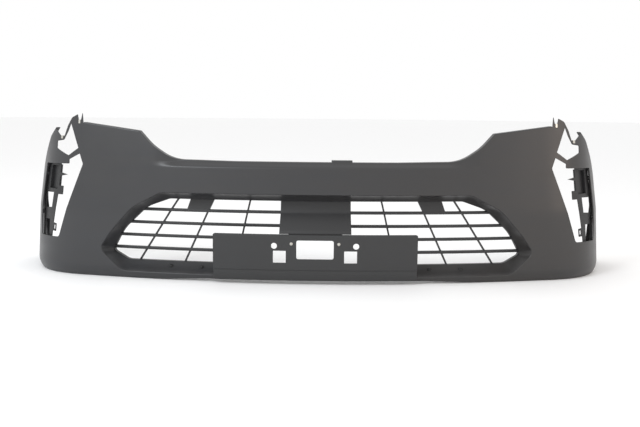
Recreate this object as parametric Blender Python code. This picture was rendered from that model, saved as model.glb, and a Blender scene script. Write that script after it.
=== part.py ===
"""Front bumper cover of a full-size van, with its grille, number-plate bracket and fasteners.

Every moulding is drawn flat first: s runs along the bumper from its middle, d runs back from
its face, and z runs up. bend() then wraps the flat solid round the plan curve and lifts it by
BASE_HEIGHT. The face looks along -Y, and the cover stands on its lower edge.
"""

import math

import bmesh
import bpy
from mathutils import Matrix, Vector

# Plan curve: the face bows slowly, then turns round each corner into the wing.
BOW_ANGLE = math.radians(12.0)
BOW_LENGTH = 0.64
CORNER_START = 0.705
CORNER_LENGTH = 0.38
CORNER_TURN = math.radians(68.0)
WING_TURN = math.radians(6.0)
WING_TURN_LENGTH = 0.20
PLAN_STEP = 0.005
PLAN_LENGTH = 1.25
FACE_Y = -0.2050
CUT_SPACING = 0.05
CORNER_CUT_SPACING = 0.03
FLAT_ANGLE = math.radians(0.2)

# Side profile of the face.
WALL = 0.003
LEAN_START = 0.20
LEAN = 0.14
WING_LEAN = 0.066
WING_LEAN_START, WING_LEAN_END = 0.70, 0.95
TUCK_HEIGHT = 0.030
TUCK = 0.008
CREASE_HEIGHT = 0.335
BAND_HEIGHT = 0.020
BAND_DEPTH = 0.017
BAND_FADE = (0.40, 0.50)
# Heights at which a wrapped solid is cut so that it can follow the profile.
PROFILE_CUTS = (0.012, TUCK_HEIGHT, LEAN_START, CREASE_HEIGHT, CREASE_HEIGHT + BAND_HEIGHT / 2, 0.3535)

# Outlines of the skin's right half, as corners (s, z, radius).
TOP_MIDDLE = 0.354
TAB = (0.047, 0.110, 0.006)
TOP_EDGE = [
    (0.250, 0.354, 0.0),
    (0.360, 0.356, 0.0),
    (0.438, 0.357, 0.12),
    (0.504, 0.400, 0.20),
    (0.546, 0.442, 0.006),
    (0.731, 0.465, 0.0),
]
WING_TOP = [
    (0.738, 0.492, 0.0),
    (0.7425, 0.471, 0.0),
    (0.752, 0.471, 0.0),
    (0.757, 0.488, 0.0),
    (0.779, 0.479, 0.015),
    (0.797, 0.453, 0.030),
    (0.811, 0.421, 0.004),
    (0.832, 0.421, 0.004),
    (0.858, 0.436, 0.0),
    (0.871, 0.447, 0.0),
]
WHEEL_ARCH_EDGE = [
    (0.914, 0.420, 0.05),
    (0.957, 0.368, 0.15),
    (1.020, 0.280, 0.20),
    (1.090, 0.180, 0.25),
    (1.165, 0.060, 0.15),
    (1.180, -0.0085, 0.030),
]
# The lower edge drops a little towards the corners, and the cover stands on that part.
LOWER_EDGE = [(0.500, -0.0085, 0.30), (0.330, 0.0, 0.30)]
BASE_HEIGHT = 0.0085
GRILLE_OPENING = [
    (0.470, 0.258, 0.05),
    (0.560, 0.212, 0.12),
    (0.635, 0.130, 0.15),
    (0.670, 0.080, 0.02),
    (0.600, 0.015, 0.05),
]
UPPER_CUTOUT = [
    (0.783, 0.462, 0.0),
    (0.770, 0.436, 0.0),
    (0.748, 0.386, 0.0),
    (0.787, 0.362, 0.004),
    (0.850, 0.383, 0.003),
    (0.852, 0.405, 0.004),
    (0.814, 0.409, 0.008),
    (0.795, 0.436, 0.030),
]
LOWER_CUTOUT = [
    (0.742, 0.369, 0.0),
    (0.729, 0.3375, 0.010),
    (0.8194, 0.108, 0.012),
    (0.930, 0.104, 0.008),
    (0.938, 0.160, 0.050),
    (0.934, 0.250, 0.100),
    (0.925, 0.334, 0.004),
    (0.782, 0.337, 0.003),
    (0.783, 0.350, 0.0),
]

# Returns that stiffen the skin's edges.
TOP_RETURN = 0.020
TOP_RETURN_END = 0.7315
LOWER_RETURN = 0.015
LOWER_RETURN_START = 0.8655

# The recess round the grille tapers from the opening back to this smaller loop.
RECESS_DEPTH = 0.045
RECESS_END = [
    (0.455, 0.236, 0.04),
    (0.532, 0.209, 0.10),
    (0.612, 0.137, 0.15),
    (0.650, 0.070, 0.012),
    (0.598, 0.042, 0.04),
]
OPENING_LOW = 0.015
RECESS_MIDDLE = (0.30, 0.50)

# Grille: slats, uprights that fan out, and a solid middle that comes forward to the bracket.
GRILLE_FRONT = 0.0490
GRILLE_BACK = 0.0632
FRAME_OVERLAP = 0.011
SLAT_HEIGHTS = (0.201, 0.160, 0.1195, 0.0795)
SLAT_THICKNESS = 0.009
SLAT_FRONT, SLAT_BACK = 0.0500, 0.0622
UPRIGHTS = (
    ((0.201, 0.242), (0.249, 0.037)),
    ((0.315, 0.242), (0.413, 0.037)),
    ((0.427, 0.242), (0.563, 0.037)),
)
UPRIGHT_THICKNESS = 0.005
UPRIGHT_FRONT, UPRIGHT_BACK = 0.0527, 0.0607
BLANK_PATCH = ((0.313, 0.242), (0.389, 0.242), (0.402, 0.203), (0.331, 0.203))
PATCH_FRONT, PATCH_BACK = 0.0507, 0.0537
MIDDLE_HALF = 0.1075
MIDDLE_FOOT_HALF = 0.080
MIDDLE_WALL = 0.0035
MIDDLE_PROFILE = ((0.0507, 0.242), (0.0495, 0.205), (0.0060, 0.152), (0.0012, 0.143))
MIDDLE_FOOT = (0.056, 0.145)
FOOT_CORNER = 0.003
MIDDLE_FRONT = 0.0010
FOOT_WINDOW = (0.0, 0.099, 0.119, 0.066, 0.008)
CHEEK_WALL = 0.0030
END_POST = (0.138, 0.146)
END_POST_TOP = 0.1238
END_POST_LOW = 0.037

# Number-plate bracket: a shallow tray whose lower band steps back.
PLATE_HALF = 0.304
PLATE_LOW, PLATE_HIGH = 0.003, 0.143
PLATE_FRONT = -0.014
PLATE_BACK = -0.001
PLATE_STEP_HEIGHTS = (0.035, 0.038)
PLATE_STEP = 0.0025
PLATE_WALL = 0.0025
PLATE_CORNER = 0.004
PLATE_BOLT_SPACING = 0.210
WINDOW = (0.0, 0.099, 0.110, 0.056, 0.006)
SQUARE_HOLE = (PLATE_BOLT_SPACING / 2, 0.0775, 0.038, 0.036, 0.001)
ROUND_HOLE = (0.121, 0.110, 0.009)
PLATE_SCREW = (0.070, 0.1165)
PLATE_SCREW_HOLE = 0.0026
PLATE_BOSS_RADIUS = 0.0055

# Bezel brackets, behind the outer side of each lower cut-out.
BEZEL_FRONT = 0.0113
BEZEL_WALL = 0.0025
BEZEL_OUTLINE = [
    (0.876, 0.085, 0.0),
    (0.869, 0.122, 0.0),
    (0.849, 0.121, 0.002),
    (0.845, 0.146, 0.002),
    (0.863, 0.148, 0.0),
    (0.847, 0.205, 0.0),
    (0.841, 0.239, 0.0),
    (0.815, 0.239, 0.002),
    (0.814, 0.266, 0.002),
    (0.837, 0.266, 0.0),
    (0.8345, 0.296, 0.0),
    (0.796, 0.302, 0.0),
    (0.834, 0.308, 0.0),
    (0.833, 0.346, 0.0),
    (0.950, 0.346, 0.004),
    (0.956, 0.250, 0.100),
    (0.968, 0.155, 0.100),
    (0.972, 0.085, 0.004),
]
BEZEL_WINDOWS = (
    ((0.874, 0.196), (0.940, 0.190), (0.938, 0.240), (0.868, 0.243)),
    ((0.893, 0.100), (0.944, 0.100), (0.943, 0.154), (0.889, 0.157)),
    ((0.8525, 0.1275), (0.8605, 0.1285), (0.8585, 0.1415), (0.8505, 0.1405)),
)
POCKET = ((0.846, 0.255), (0.905, 0.255), (0.902, 0.328), (0.844, 0.328))
POCKET_DEPTH = 0.010
BEZEL_SCREWS = ((0.940, 0.300), (0.954, 0.175), (0.915, 0.0930))
BOSS_RADIUS = 0.006
BOSS_END = 0.011
BOSS_BORE = 0.0024
BOSS_BORE_START = 0.0045
BEZEL_SCREW_HOLE = 0.0027

# Push retainers in the lower lip.
RETAINERS = (0.351, 0.449)
RETAINER_PLACE = (0.0315, 0.0307)
RETAINER_TILT = math.atan2(0.0225, 0.0189)
RETAINER_HOLE = 0.0045
RETAINER_REACH = 0.009
GROMMET_HEAD, GROMMET_HEAD_HEIGHT = 0.0070, 0.0014
GROMMET_BARREL, GROMMET_LENGTH = 0.0041, 0.0125
GROMMET_BORE = 0.0024
PIN_RADIUS, PIN_LENGTH = 0.0020, 0.0155
PIN_HEAD, PIN_HEAD_HEIGHT = 0.0048, 0.0020

SCREW_HEAD, SCREW_HEAD_HEIGHT = 0.0048, 0.0024
SCREW_SHANK = 0.0019
HEAD_TOP_SHARE = 0.7
PLATE_SCREW_LENGTH = 0.022
BEZEL_SCREW_LENGTH = 0.0092
BEZEL_SCREW_LIFT = 0.0013

GAP = 0.0004
ROUND_SIDES = 16

# Spring nuts clipped over the edge of each wing top: (s, edge height, width, leg length).
SPRING_NUTS = {"inner": (0.7473, 0.471, 0.007, 0.010), "outer": (0.8215, 0.421, 0.011, 0.008)}
SPRING_STEEL = 0.0010

FINISHES = {
    "skin_moulding": ((0.085, 0.088, 0.095), 0.42, 0.0),
    "grille_moulding": ((0.060, 0.062, 0.066), 0.55, 0.0),
    "bracket_moulding": ((0.045, 0.048, 0.050), 0.65, 0.0),
    "retainer_plastic": ((0.020, 0.020, 0.021), 0.50, 0.0),
    "plated_steel": ((0.62, 0.60, 0.55), 0.35, 1.0),
}


def clear_scene():
    for item in list(bpy.data.objects):
        bpy.data.objects.remove(item)


def finish(name):
    """The material of this name, made on its first use."""
    if name in bpy.data.materials:
        return bpy.data.materials[name]
    colour, roughness, metallic = FINISHES[name]
    material = bpy.data.materials.new(name)
    material.use_nodes = True
    shader = material.node_tree.nodes["Principled BSDF"]
    shader.inputs["Base Color"].default_value = (*colour, 1.0)
    shader.inputs["Roughness"].default_value = roughness
    shader.inputs["Metallic"].default_value = metallic
    return material


def smoothstep(value, low, high):
    t = min(max((value - low) / (high - low), 0.0), 1.0)
    return t * t * (3.0 - 2.0 * t)


# ---------------------------------------------------------------- plan curve and side profile


def heading(s):
    """Angle between the face and the X axis at this distance from the middle."""
    bow = BOW_ANGLE * min(s / BOW_LENGTH, 1.0)
    corner = CORNER_TURN * smoothstep(s, CORNER_START, CORNER_START + CORNER_LENGTH)
    wing_start = CORNER_START + CORNER_LENGTH
    wing = WING_TURN * min(max((s - wing_start) / WING_TURN_LENGTH, 0.0), 1.0)
    return bow + corner + wing


def plan_points():
    points = [(0.0, FACE_Y)]
    for i in range(round(PLAN_LENGTH / PLAN_STEP)):
        angle = heading((i + 0.5) * PLAN_STEP)
        x, y = points[-1]
        points.append((x + math.cos(angle) * PLAN_STEP, y + math.sin(angle) * PLAN_STEP))
    return points


PLAN = plan_points()


def wrap(flat):
    """World place of a flat point (s, d, z), where d counts from the face."""
    s, d, z = flat
    d += set_back(s, z)
    side = -1.0 if s < 0.0 else 1.0
    place = abs(s) / PLAN_STEP
    i = min(int(place), len(PLAN) - 2)
    part = place - i
    x = PLAN[i][0] + (PLAN[i + 1][0] - PLAN[i][0]) * part
    y = PLAN[i][1] + (PLAN[i + 1][1] - PLAN[i][1]) * part
    angle = heading(abs(s))
    return Vector((side * (x - d * math.sin(angle)), y + d * math.cos(angle), z + BASE_HEIGHT))


def set_back(s, z):
    """How far the face lies behind the plan curve: it leans back, and a band tops the middle."""
    lean = LEAN * max(z - LEAN_START, 0.0)
    lean += WING_LEAN * min(z, LEAN_START) * smoothstep(abs(s), WING_LEAN_START, WING_LEAN_END)
    tuck = TUCK * max(1.0 - z / TUCK_HEIGHT, 0.0) ** 2
    band = BAND_DEPTH * smoothstep(z, CREASE_HEIGHT, CREASE_HEIGHT + BAND_HEIGHT)
    return lean + tuck + band * (1.0 - smoothstep(abs(s), *BAND_FADE))


def local_frame(s, d, z, tilt=0.0):
    """World matrix at a flat point: local +Z points out of the face, tipped up by tilt."""
    angle = heading(abs(s)) * (-1.0 if s < 0.0 else 1.0)
    turn = Matrix.Rotation(angle, 4, "Z")
    tip = Matrix.Rotation(math.pi / 2.0 - tilt, 4, "X")
    return Matrix.Translation(wrap((s, d, z))) @ turn @ tip


# ---------------------------------------------------------------- flat outlines


def rounded(corners, pieces=3):
    """The closed outline of these corners (s, z, radius), each radius as a short arc."""
    outline = []
    for i, (s, z, radius) in enumerate(corners):
        here = Vector((s, z))
        if radius == 0.0:
            outline.append((s, z))
            continue
        before = (Vector(corners[i - 1][:2]) - here).normalized()
        after = (Vector(corners[(i + 1) % len(corners)][:2]) - here).normalized()
        half = before.angle(after) / 2.0
        middle = here + (before + after).normalized() * radius / math.sin(half)
        start = here + before * radius / math.tan(half) - middle
        end = here + after * radius / math.tan(half) - middle
        sweep = start.angle_signed(end)
        for k in range(pieces + 1):
            turned_start = start.copy()
            turned_start.rotate(Matrix.Rotation(-sweep * k / pieces, 2))
            outline.append(tuple(middle + turned_start))
    return outline


def mirrored(corners):
    """The same corners on the left side, in the order that keeps going round."""
    return [(-corner[0], *corner[1:]) for corner in reversed(corners)]


def on_side(corners, side):
    return list(corners) if side > 0 else mirrored(corners)


def grown(corners, distance):
    """These corners moved so that every side of the closed outline stands further out."""
    result = []
    for i, (s, z, radius) in enumerate(corners):
        here = Vector((s, z))
        before = (Vector(corners[i - 1][:2]) - here).normalized()
        after = (Vector(corners[(i + 1) % len(corners)][:2]) - here).normalized()
        half = before.angle(after) / 2.0
        moved = here - (before + after).normalized() * distance / math.sin(half)
        result.append((moved.x, moved.y, radius))
    return result


def rectangle(s, z, width, height, radius):
    half_width, half_height = width / 2.0, height / 2.0
    return [
        (s - half_width, z - half_height, radius),
        (s + half_width, z - half_height, radius),
        (s + half_width, z + half_height, radius),
        (s - half_width, z + half_height, radius),
    ]


def circle(s, z, radius):
    turns = [2.0 * math.pi * i / ROUND_SIDES for i in range(ROUND_SIDES)]
    return [(s + radius * math.cos(turn), z + radius * math.sin(turn)) for turn in turns]


def recess_corners():
    """The smaller loop at the back of the recess, as corners."""
    return mirrored(RECESS_END) + RECESS_END


def reach(loop, z):
    """The furthest place along s where a closed outline crosses this height."""
    crossings = []
    for i, (s1, z1) in enumerate(loop):
        s0, z0 = loop[i - 1]
        if (z0 - z) * (z1 - z) < 0.0:
            crossings.append(s0 + (s1 - s0) * (z - z0) / (z1 - z0))
    return max(crossings)


# ---------------------------------------------------------------- flat solids


def sheet(outline, holes=()):
    """A flat face at d = 0, facing forward, with holes. Also gives the edges of each outline."""
    bm = bmesh.new()
    loops = []
    for points in (outline, *holes):
        verts = [bm.verts.new((s, 0.0, z)) for s, z in points]
        loops.append([bm.edges.new((verts[i - 1], verts[i])) for i in range(len(verts))])
    edges = [edge for loop in loops for edge in loop]
    bmesh.ops.triangle_fill(bm, edges=edges, use_beauty=True, use_dissolve=False)
    bm.normal_update()
    for face in bm.faces:
        if face.normal.y > 0.0:
            face.normal_flip()
    return bm, loops


def push_back(bm, edges, depth):
    """Extrudes edges of a sheet straight back, and gives the new edges."""
    made = bmesh.ops.extrude_edge_only(bm, edges=edges)["geom"]
    for item in made:
        if isinstance(item, bmesh.types.BMVert):
            item.co.y += depth
    return [item for item in made if isinstance(item, bmesh.types.BMEdge)]


def to_mesh(bm):
    mesh = bpy.data.meshes.new("flat")
    bm.normal_update()
    bm.to_mesh(mesh)
    bm.free()
    return mesh


def evaluated(mesh, kind, settings):
    """This mesh with one modifier applied to it."""
    holder = bpy.data.objects.new("holder", mesh)
    bpy.context.scene.collection.objects.link(holder)
    modifier = holder.modifiers.new(kind.lower(), kind)
    for key, value in settings.items():
        setattr(modifier, key, value)
    graph = bpy.context.evaluated_depsgraph_get()
    result = bpy.data.meshes.new_from_object(holder.evaluated_get(graph))
    bpy.data.objects.remove(holder)
    return result


def thickened(bm, wall):
    """The sheet as a solid whose wall lies behind its face."""
    settings = {"thickness": wall, "offset": -1.0, "use_even_offset": True}
    return evaluated(to_mesh(bm), "SOLIDIFY", settings)


def merged(meshes):
    bm = bmesh.new()
    for mesh in meshes:
        bm.from_mesh(mesh)
    return to_mesh(bm)


def combined(mesh, other, operation):
    """The union of two closed meshes, or the first with the second cut away."""
    tool = bpy.data.objects.new("tool", other)
    bpy.context.scene.collection.objects.link(tool)
    result = evaluated(mesh, "BOOLEAN", {"operation": operation, "object": tool, "solver": "EXACT"})
    bpy.data.objects.remove(tool)
    return result


def extruded(bm, faces, step):
    """Closes a face or a sheet into a solid by extruding it along a vector."""
    made = bmesh.ops.extrude_face_region(bm, geom=faces)["geom"]
    verts = [item for item in made if isinstance(item, bmesh.types.BMVert)]
    bmesh.ops.translate(bm, verts=verts, vec=step)
    bmesh.ops.recalc_face_normals(bm, faces=bm.faces)
    return to_mesh(bm)


def slab(outline, front, back, holes=()):
    """A solid with this outline that reaches from d = front to d = back."""
    bm, _ = sheet(outline, holes)
    bmesh.ops.translate(bm, verts=bm.verts, vec=(0.0, front, 0.0))
    return extruded(bm, bm.faces[:], (0.0, back - front, 0.0))


def bar(profile, start, end):
    """A solid with this (d, z) profile that runs along s from start to end."""
    bm = bmesh.new()
    face = bm.faces.new([bm.verts.new((start, d, z)) for d, z in profile])
    return extruded(bm, [face], (end - start, 0.0, 0.0))


def rod(centre, radius, length, axis=(0.0, 1.0, 0.0)):
    """A cylinder that starts at centre and runs along axis."""
    axis = Vector(axis).normalized()
    turn = axis.to_track_quat("Z", "Y").to_matrix().to_4x4()
    matrix = Matrix.Translation(Vector(centre) + axis * length / 2.0) @ turn
    bm = bmesh.new()
    ends = {"radius1": radius, "radius2": radius, "depth": length}
    bmesh.ops.create_cone(bm, cap_ends=True, segments=ROUND_SIDES, matrix=matrix, **ends)
    return to_mesh(bm)


def turned(profile):
    """A closed solid of revolution about Z from (radius, height) points."""
    bm = bmesh.new()
    verts = [bm.verts.new((radius, 0.0, height)) for radius, height in profile]
    edges = [bm.edges.new(pair) for pair in zip(verts, verts[1:])]
    if profile[0][0] > 0.0:
        edges.append(bm.edges.new((verts[-1], verts[0])))
    whole = {"cent": (0, 0, 0), "axis": (0, 0, 1), "angle": 2.0 * math.pi, "steps": ROUND_SIDES}
    bmesh.ops.spin(bm, geom=verts + edges, **whole)
    bmesh.ops.remove_doubles(bm, verts=bm.verts, dist=1e-6)
    bmesh.ops.recalc_face_normals(bm, faces=bm.faces)
    return to_mesh(bm)


def bend_cuts():
    """Places along s where a flat solid needs corners to bend well."""
    spots = []
    s = CUT_SPACING / 2.0
    while s < PLAN_LENGTH:
        spots += [s, -s]
        s += CUT_SPACING if s < CORNER_START else CORNER_CUT_SPACING
    return spots


def bend(mesh):
    """Cuts a flat solid where it has to curve, and wraps it round the plan curve."""
    bm = bmesh.new()
    bm.from_mesh(mesh)
    bmesh.ops.dissolve_limit(bm, angle_limit=FLAT_ANGLE, verts=bm.verts, edges=bm.edges)
    cuts = [(s, Vector((1.0, 0.0, 0.0))) for s in bend_cuts()]
    cuts += [(z, Vector((0.0, 0.0, 1.0))) for z in PROFILE_CUTS]
    for spot, normal in cuts:
        geometry = bm.verts[:] + bm.edges[:] + bm.faces[:]
        bmesh.ops.bisect_plane(bm, geom=geometry, plane_co=normal * spot, plane_no=normal, dist=1e-6)
    bmesh.ops.triangulate(bm, faces=bm.faces)
    for vert in bm.verts:
        vert.co = wrap(vert.co)
    return to_mesh(bm)


def add(name, mesh, finish_name, matrix=None, smooth_angle=30.0):
    """Makes the object of a finished mesh."""
    mesh.name = name
    mesh.materials.clear()
    mesh.materials.append(finish(finish_name))
    mesh.shade_smooth()
    mesh.set_sharp_from_angle(angle=math.radians(smooth_angle))
    item = bpy.data.objects.new(name, mesh)
    if matrix:
        item.matrix_world = matrix
    bpy.context.scene.collection.objects.link(item)


def sided(name, side):
    return ("right_" if side > 0 else "left_") + name


# ---------------------------------------------------------------- bumper skin


def skin_outline():
    start, end, height = TAB
    tab = [(start, TOP_MIDDLE), (start, TOP_MIDDLE + height), (end, TOP_MIDDLE + height), (end, TOP_MIDDLE)]
    right = TOP_EDGE + WING_TOP + WHEEL_ARCH_EDGE + LOWER_EDGE
    return rounded(mirrored(right) + [(s, z, 0.0) for s, z in tab] + right)


def add_recess(bm, ring):
    """Carries the edge of the grille opening back in two steps to the smaller loop."""
    starts = rounded(mirrored(GRILLE_OPENING) + GRILLE_OPENING)
    pairs = [(Vector((s, 0.0, z)), Vector((u, 0.0, v))) for (s, z), (u, v) in zip(starts, rounded(recess_corners()))]
    layer = bm.verts.layers.float_vector.new("start")
    for vert in bm.verts:
        vert[layer] = vert.co
    for toward, back in (RECESS_MIDDLE, (1.0, 1.0)):
        ring = push_back(bm, ring, 0.0)
        for vert in {vert for edge in ring for vert in edge.verts}:
            start, end = min(pairs, key=lambda pair: (pair[0] - vert[layer]).length)
            vert.co = start.lerp(end, toward) + Vector((0.0, RECESS_DEPTH * back, 0.0))


def retainer_places():
    return [side * s for side in (-1, 1) for s in RETAINERS]


def make_skin():
    holes = [rounded(mirrored(GRILLE_OPENING) + GRILLE_OPENING)]
    holes += [rounded(on_side(cutout, side)) for cutout in (UPPER_CUTOUT, LOWER_CUTOUT) for side in (-1, 1)]
    bm, loops = sheet(skin_outline(), holes)

    def all_verts(edge, test):
        return all(test(vert.co) for vert in edge.verts)

    top = [e for e in loops[0] if all_verts(e, lambda co: abs(co.x) < TOP_RETURN_END and co.z > OPENING_LOW)]
    lower = [
        e for e in loops[0] if all_verts(e, lambda co: abs(co.x) > LOWER_RETURN_START or co.z < OPENING_LOW)
    ]
    push_back(bm, top, TOP_RETURN)
    push_back(bm, lower, LOWER_RETURN)
    add_recess(bm, loops[1])
    skin = thickened(bm, WALL)

    screws = [(side * s, z) for side in (-1, 1) for s, z in BEZEL_SCREWS]
    bosses = [rod((s, WALL / 2, z), BOSS_RADIUS, BOSS_END - WALL / 2) for s, z in screws]
    bores = [rod((s, BOSS_BORE_START, z), BOSS_BORE, BOSS_END) for s, z in screws]
    inward = (0.0, math.cos(RETAINER_TILT), -math.sin(RETAINER_TILT))
    for s in retainer_places():
        outside = Vector((s, *RETAINER_PLACE)) - Vector(inward) * RETAINER_REACH
        bores.append(rod(outside, RETAINER_HOLE, 2 * RETAINER_REACH, inward))
    skin = combined(skin, merged(bosses), "UNION")
    skin = combined(skin, merged(bores), "DIFFERENCE")
    add("bumper_skin", bend(skin), "skin_moulding", smooth_angle=25.0)


# ---------------------------------------------------------------- lower grille


def slanted(top, bottom, thickness):
    """A strip of this thickness between two points (s, z)."""
    half = thickness / 2.0
    (s0, z0), (s1, z1) = top, bottom
    return [(s0 - half, z0), (s0 + half, z0), (s1 + half, z1), (s1 - half, z1)]


def grille_side(side, loop):
    """The solids on one side of the grille's middle: slats, uprights, blank patch and end post."""
    parts = []
    for z in SLAT_HEIGHTS:
        inner = MIDDLE_HALF - CHEEK_WALL / 2 if z > MIDDLE_FOOT[1] else END_POST[0] + CHEEK_WALL / 2
        outer = reach(loop, z) + FRAME_OVERLAP / 2
        strip = [(inner, z), (outer, z), (outer, z + SLAT_THICKNESS), (inner, z + SLAT_THICKNESS)]
        strip = [(s, height - SLAT_THICKNESS / 2) for s, height in strip]
        parts.append(slab(on_side(strip, side), SLAT_FRONT, SLAT_BACK))
    for top, bottom in UPRIGHTS:
        strip = slanted(top, bottom, UPRIGHT_THICKNESS)
        parts.append(slab(on_side(strip, side), UPRIGHT_FRONT, UPRIGHT_BACK))
    parts.append(slab(on_side(BLANK_PATCH, side), PATCH_FRONT, PATCH_BACK))
    post_middle = sum(END_POST) / 2
    post = slanted((post_middle, END_POST_TOP), (post_middle, END_POST_LOW), END_POST[1] - END_POST[0])
    parts.append(slab(on_side(post, side), SLAT_FRONT + GAP, SLAT_BACK - GAP))
    high, low = MIDDLE_PROFILE[1:3]
    cheek_back = SLAT_BACK - 2 * GAP
    cheek = [high, low, (cheek_back, low[1]), (cheek_back, high[1])]
    inner, outer = sorted((side * (MIDDLE_HALF - CHEEK_WALL), side * (MIDDLE_HALF - GAP)))
    parts.append(bar([(d + GAP, z) for d, z in cheek], inner, outer))
    return parts


def make_grille():
    corners = recess_corners()
    loop = rounded(corners)
    frame = slab(rounded(grown(corners, FRAME_OVERLAP)), GRILLE_FRONT, GRILLE_BACK, [loop])
    back = [(d + MIDDLE_WALL, z) for d, z in reversed(MIDDLE_PROFILE)]
    middle = bar([*MIDDLE_PROFILE, *back], -MIDDLE_HALF, MIDDLE_HALF)
    low, high = MIDDLE_FOOT
    foot_outline = rounded(rectangle(0.0, (low + high) / 2, 2 * MIDDLE_FOOT_HALF, high - low, FOOT_CORNER))
    screw_holes = [circle(side * PLATE_SCREW[0], PLATE_SCREW[1], PLATE_SCREW_HOLE) for side in (-1, 1)]
    holes = [rounded(rectangle(*FOOT_WINDOW)), *screw_holes]
    foot = slab(foot_outline, MIDDLE_FRONT, MIDDLE_FRONT + MIDDLE_WALL, holes)
    grille = combined(frame, middle, "UNION")
    grille = combined(grille, foot, "UNION")
    for side in (-1, 1):
        for part in grille_side(side, loop):
            grille = combined(grille, part, "UNION")
    add("lower_grille", bend(grille), "grille_moulding")


# ---------------------------------------------------------------- number-plate bracket


def make_plate_bracket():
    height = PLATE_HIGH - PLATE_LOW
    outline = rounded(rectangle(0.0, PLATE_LOW + height / 2, 2 * PLATE_HALF, height, PLATE_CORNER))
    holes = [rounded(rectangle(*WINDOW))]
    for side in (-1, 1):
        s, z, width, tall, radius = SQUARE_HOLE
        holes.append(rounded(rectangle(side * s, z, width, tall, radius)))
        holes.append(circle(side * ROUND_HOLE[0], *ROUND_HOLE[1:]))
        holes.append(circle(side * PLATE_SCREW[0], PLATE_SCREW[1], PLATE_SCREW_HOLE))
    bm, loops = sheet(outline, holes)
    push_back(bm, loops[0], PLATE_BACK - PLATE_FRONT)
    tray = thickened(bm, PLATE_WALL)
    bosses = []
    for side in (-1, 1):
        s, z = side * PLATE_SCREW[0], PLATE_SCREW[1]
        bore = [circle(s, z, PLATE_SCREW_HOLE)]
        bosses.append(slab(circle(s, z, PLATE_BOSS_RADIUS), PLATE_WALL - GAP, PLATE_BACK - PLATE_FRONT, bore))
    tray = combined(tray, merged(bosses), "UNION")
    bm = bmesh.new()
    bm.from_mesh(tray)
    for height in PLATE_STEP_HEIGHTS:
        geometry = bm.verts[:] + bm.edges[:] + bm.faces[:]
        bmesh.ops.bisect_plane(bm, geom=geometry, plane_co=(0, 0, height), plane_no=(0, 0, 1), dist=1e-6)
    for vert in bm.verts:
        in_front_wall = vert.co.y < PLATE_WALL + GAP
        if in_front_wall and vert.co.z < PLATE_STEP_HEIGHTS[0] + GAP:
            vert.co.y += PLATE_STEP
        vert.co.y += PLATE_FRONT
    add("number_plate_bracket", bend(to_mesh(bm)), "bracket_moulding")


# ---------------------------------------------------------------- bezel brackets


def make_bezel_bracket(side):
    holes = [list(on_side(window, side)) for window in BEZEL_WINDOWS]
    holes += [circle(side * s, z, BEZEL_SCREW_HOLE) for s, z in BEZEL_SCREWS]
    bm, loops = sheet(rounded(on_side(BEZEL_OUTLINE, side)), [on_side(POCKET, side), *holes])
    floor = push_back(bm, loops[1], POCKET_DEPTH)
    bmesh.ops.contextual_create(bm, geom=floor)
    bmesh.ops.recalc_face_normals(bm, faces=bm.faces)
    bm.normal_update()
    if sum(face.normal.y * face.calc_area() for face in bm.faces) > 0.0:
        bmesh.ops.reverse_faces(bm, faces=bm.faces)
    bmesh.ops.translate(bm, verts=bm.verts, vec=(0.0, BEZEL_FRONT, 0.0))
    add(sided("bezel_bracket", side), bend(thickened(bm, BEZEL_WALL)), "bracket_moulding")


# ---------------------------------------------------------------- fasteners


def screw_mesh(length):
    head, height = SCREW_HEAD, SCREW_HEAD_HEIGHT
    top = [(0, height), (HEAD_TOP_SHARE * head, height), (head, height / 3), (head, 0)]
    return turned([*top, (SCREW_SHANK, 0), (SCREW_SHANK, -length), (0, -length)])


def make_screws():
    """Two screws hold the plate bracket from the front; three hold each bezel bracket from behind."""
    for side in (-1, 1):
        s, z = PLATE_SCREW
        frame = local_frame(side * s, PLATE_FRONT - GAP, z)
        add(sided("plate_bracket_screw", side), screw_mesh(PLATE_SCREW_LENGTH), "plated_steel", frame)
        for number, (s, z) in enumerate(BEZEL_SCREWS, 1):
            frame = local_frame(side * s, BEZEL_FRONT + BEZEL_WALL + BEZEL_SCREW_LIFT, z)
            backward = Matrix.Rotation(math.pi, 4, "X")
            name = sided(f"bezel_screw_{number}", side)
            add(name, screw_mesh(BEZEL_SCREW_LENGTH), "plated_steel", frame @ backward)


def make_retainers():
    """Each push retainer is a grommet with a flanged head, and a centre pin that slides in it."""
    top = GAP + GROMMET_HEAD_HEIGHT
    grommet = [
        (GROMMET_BORE, top),
        (GROMMET_HEAD, top),
        (GROMMET_HEAD, GAP),
        (GROMMET_BARREL, GAP),
        (GROMMET_BARREL, -GROMMET_LENGTH),
        (GROMMET_BORE, -GROMMET_LENGTH),
    ]
    base = top + GAP
    pin = [
        (0.0, base + PIN_HEAD_HEIGHT),
        (HEAD_TOP_SHARE * PIN_HEAD, base + PIN_HEAD_HEIGHT),
        (PIN_HEAD, base + PIN_HEAD_HEIGHT / 2),
        (PIN_HEAD, base),
        (PIN_RADIUS, base),
        (PIN_RADIUS, -PIN_LENGTH),
        (0.0, -PIN_LENGTH),
    ]
    for number, s in enumerate(retainer_places(), 1):
        frame = local_frame(s, *RETAINER_PLACE, RETAINER_TILT)
        add(f"retainer_grommet_{number}", turned(grommet), "retainer_plastic", frame)
        add(f"retainer_pin_{number}", turned(pin), "retainer_plastic", frame)


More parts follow.
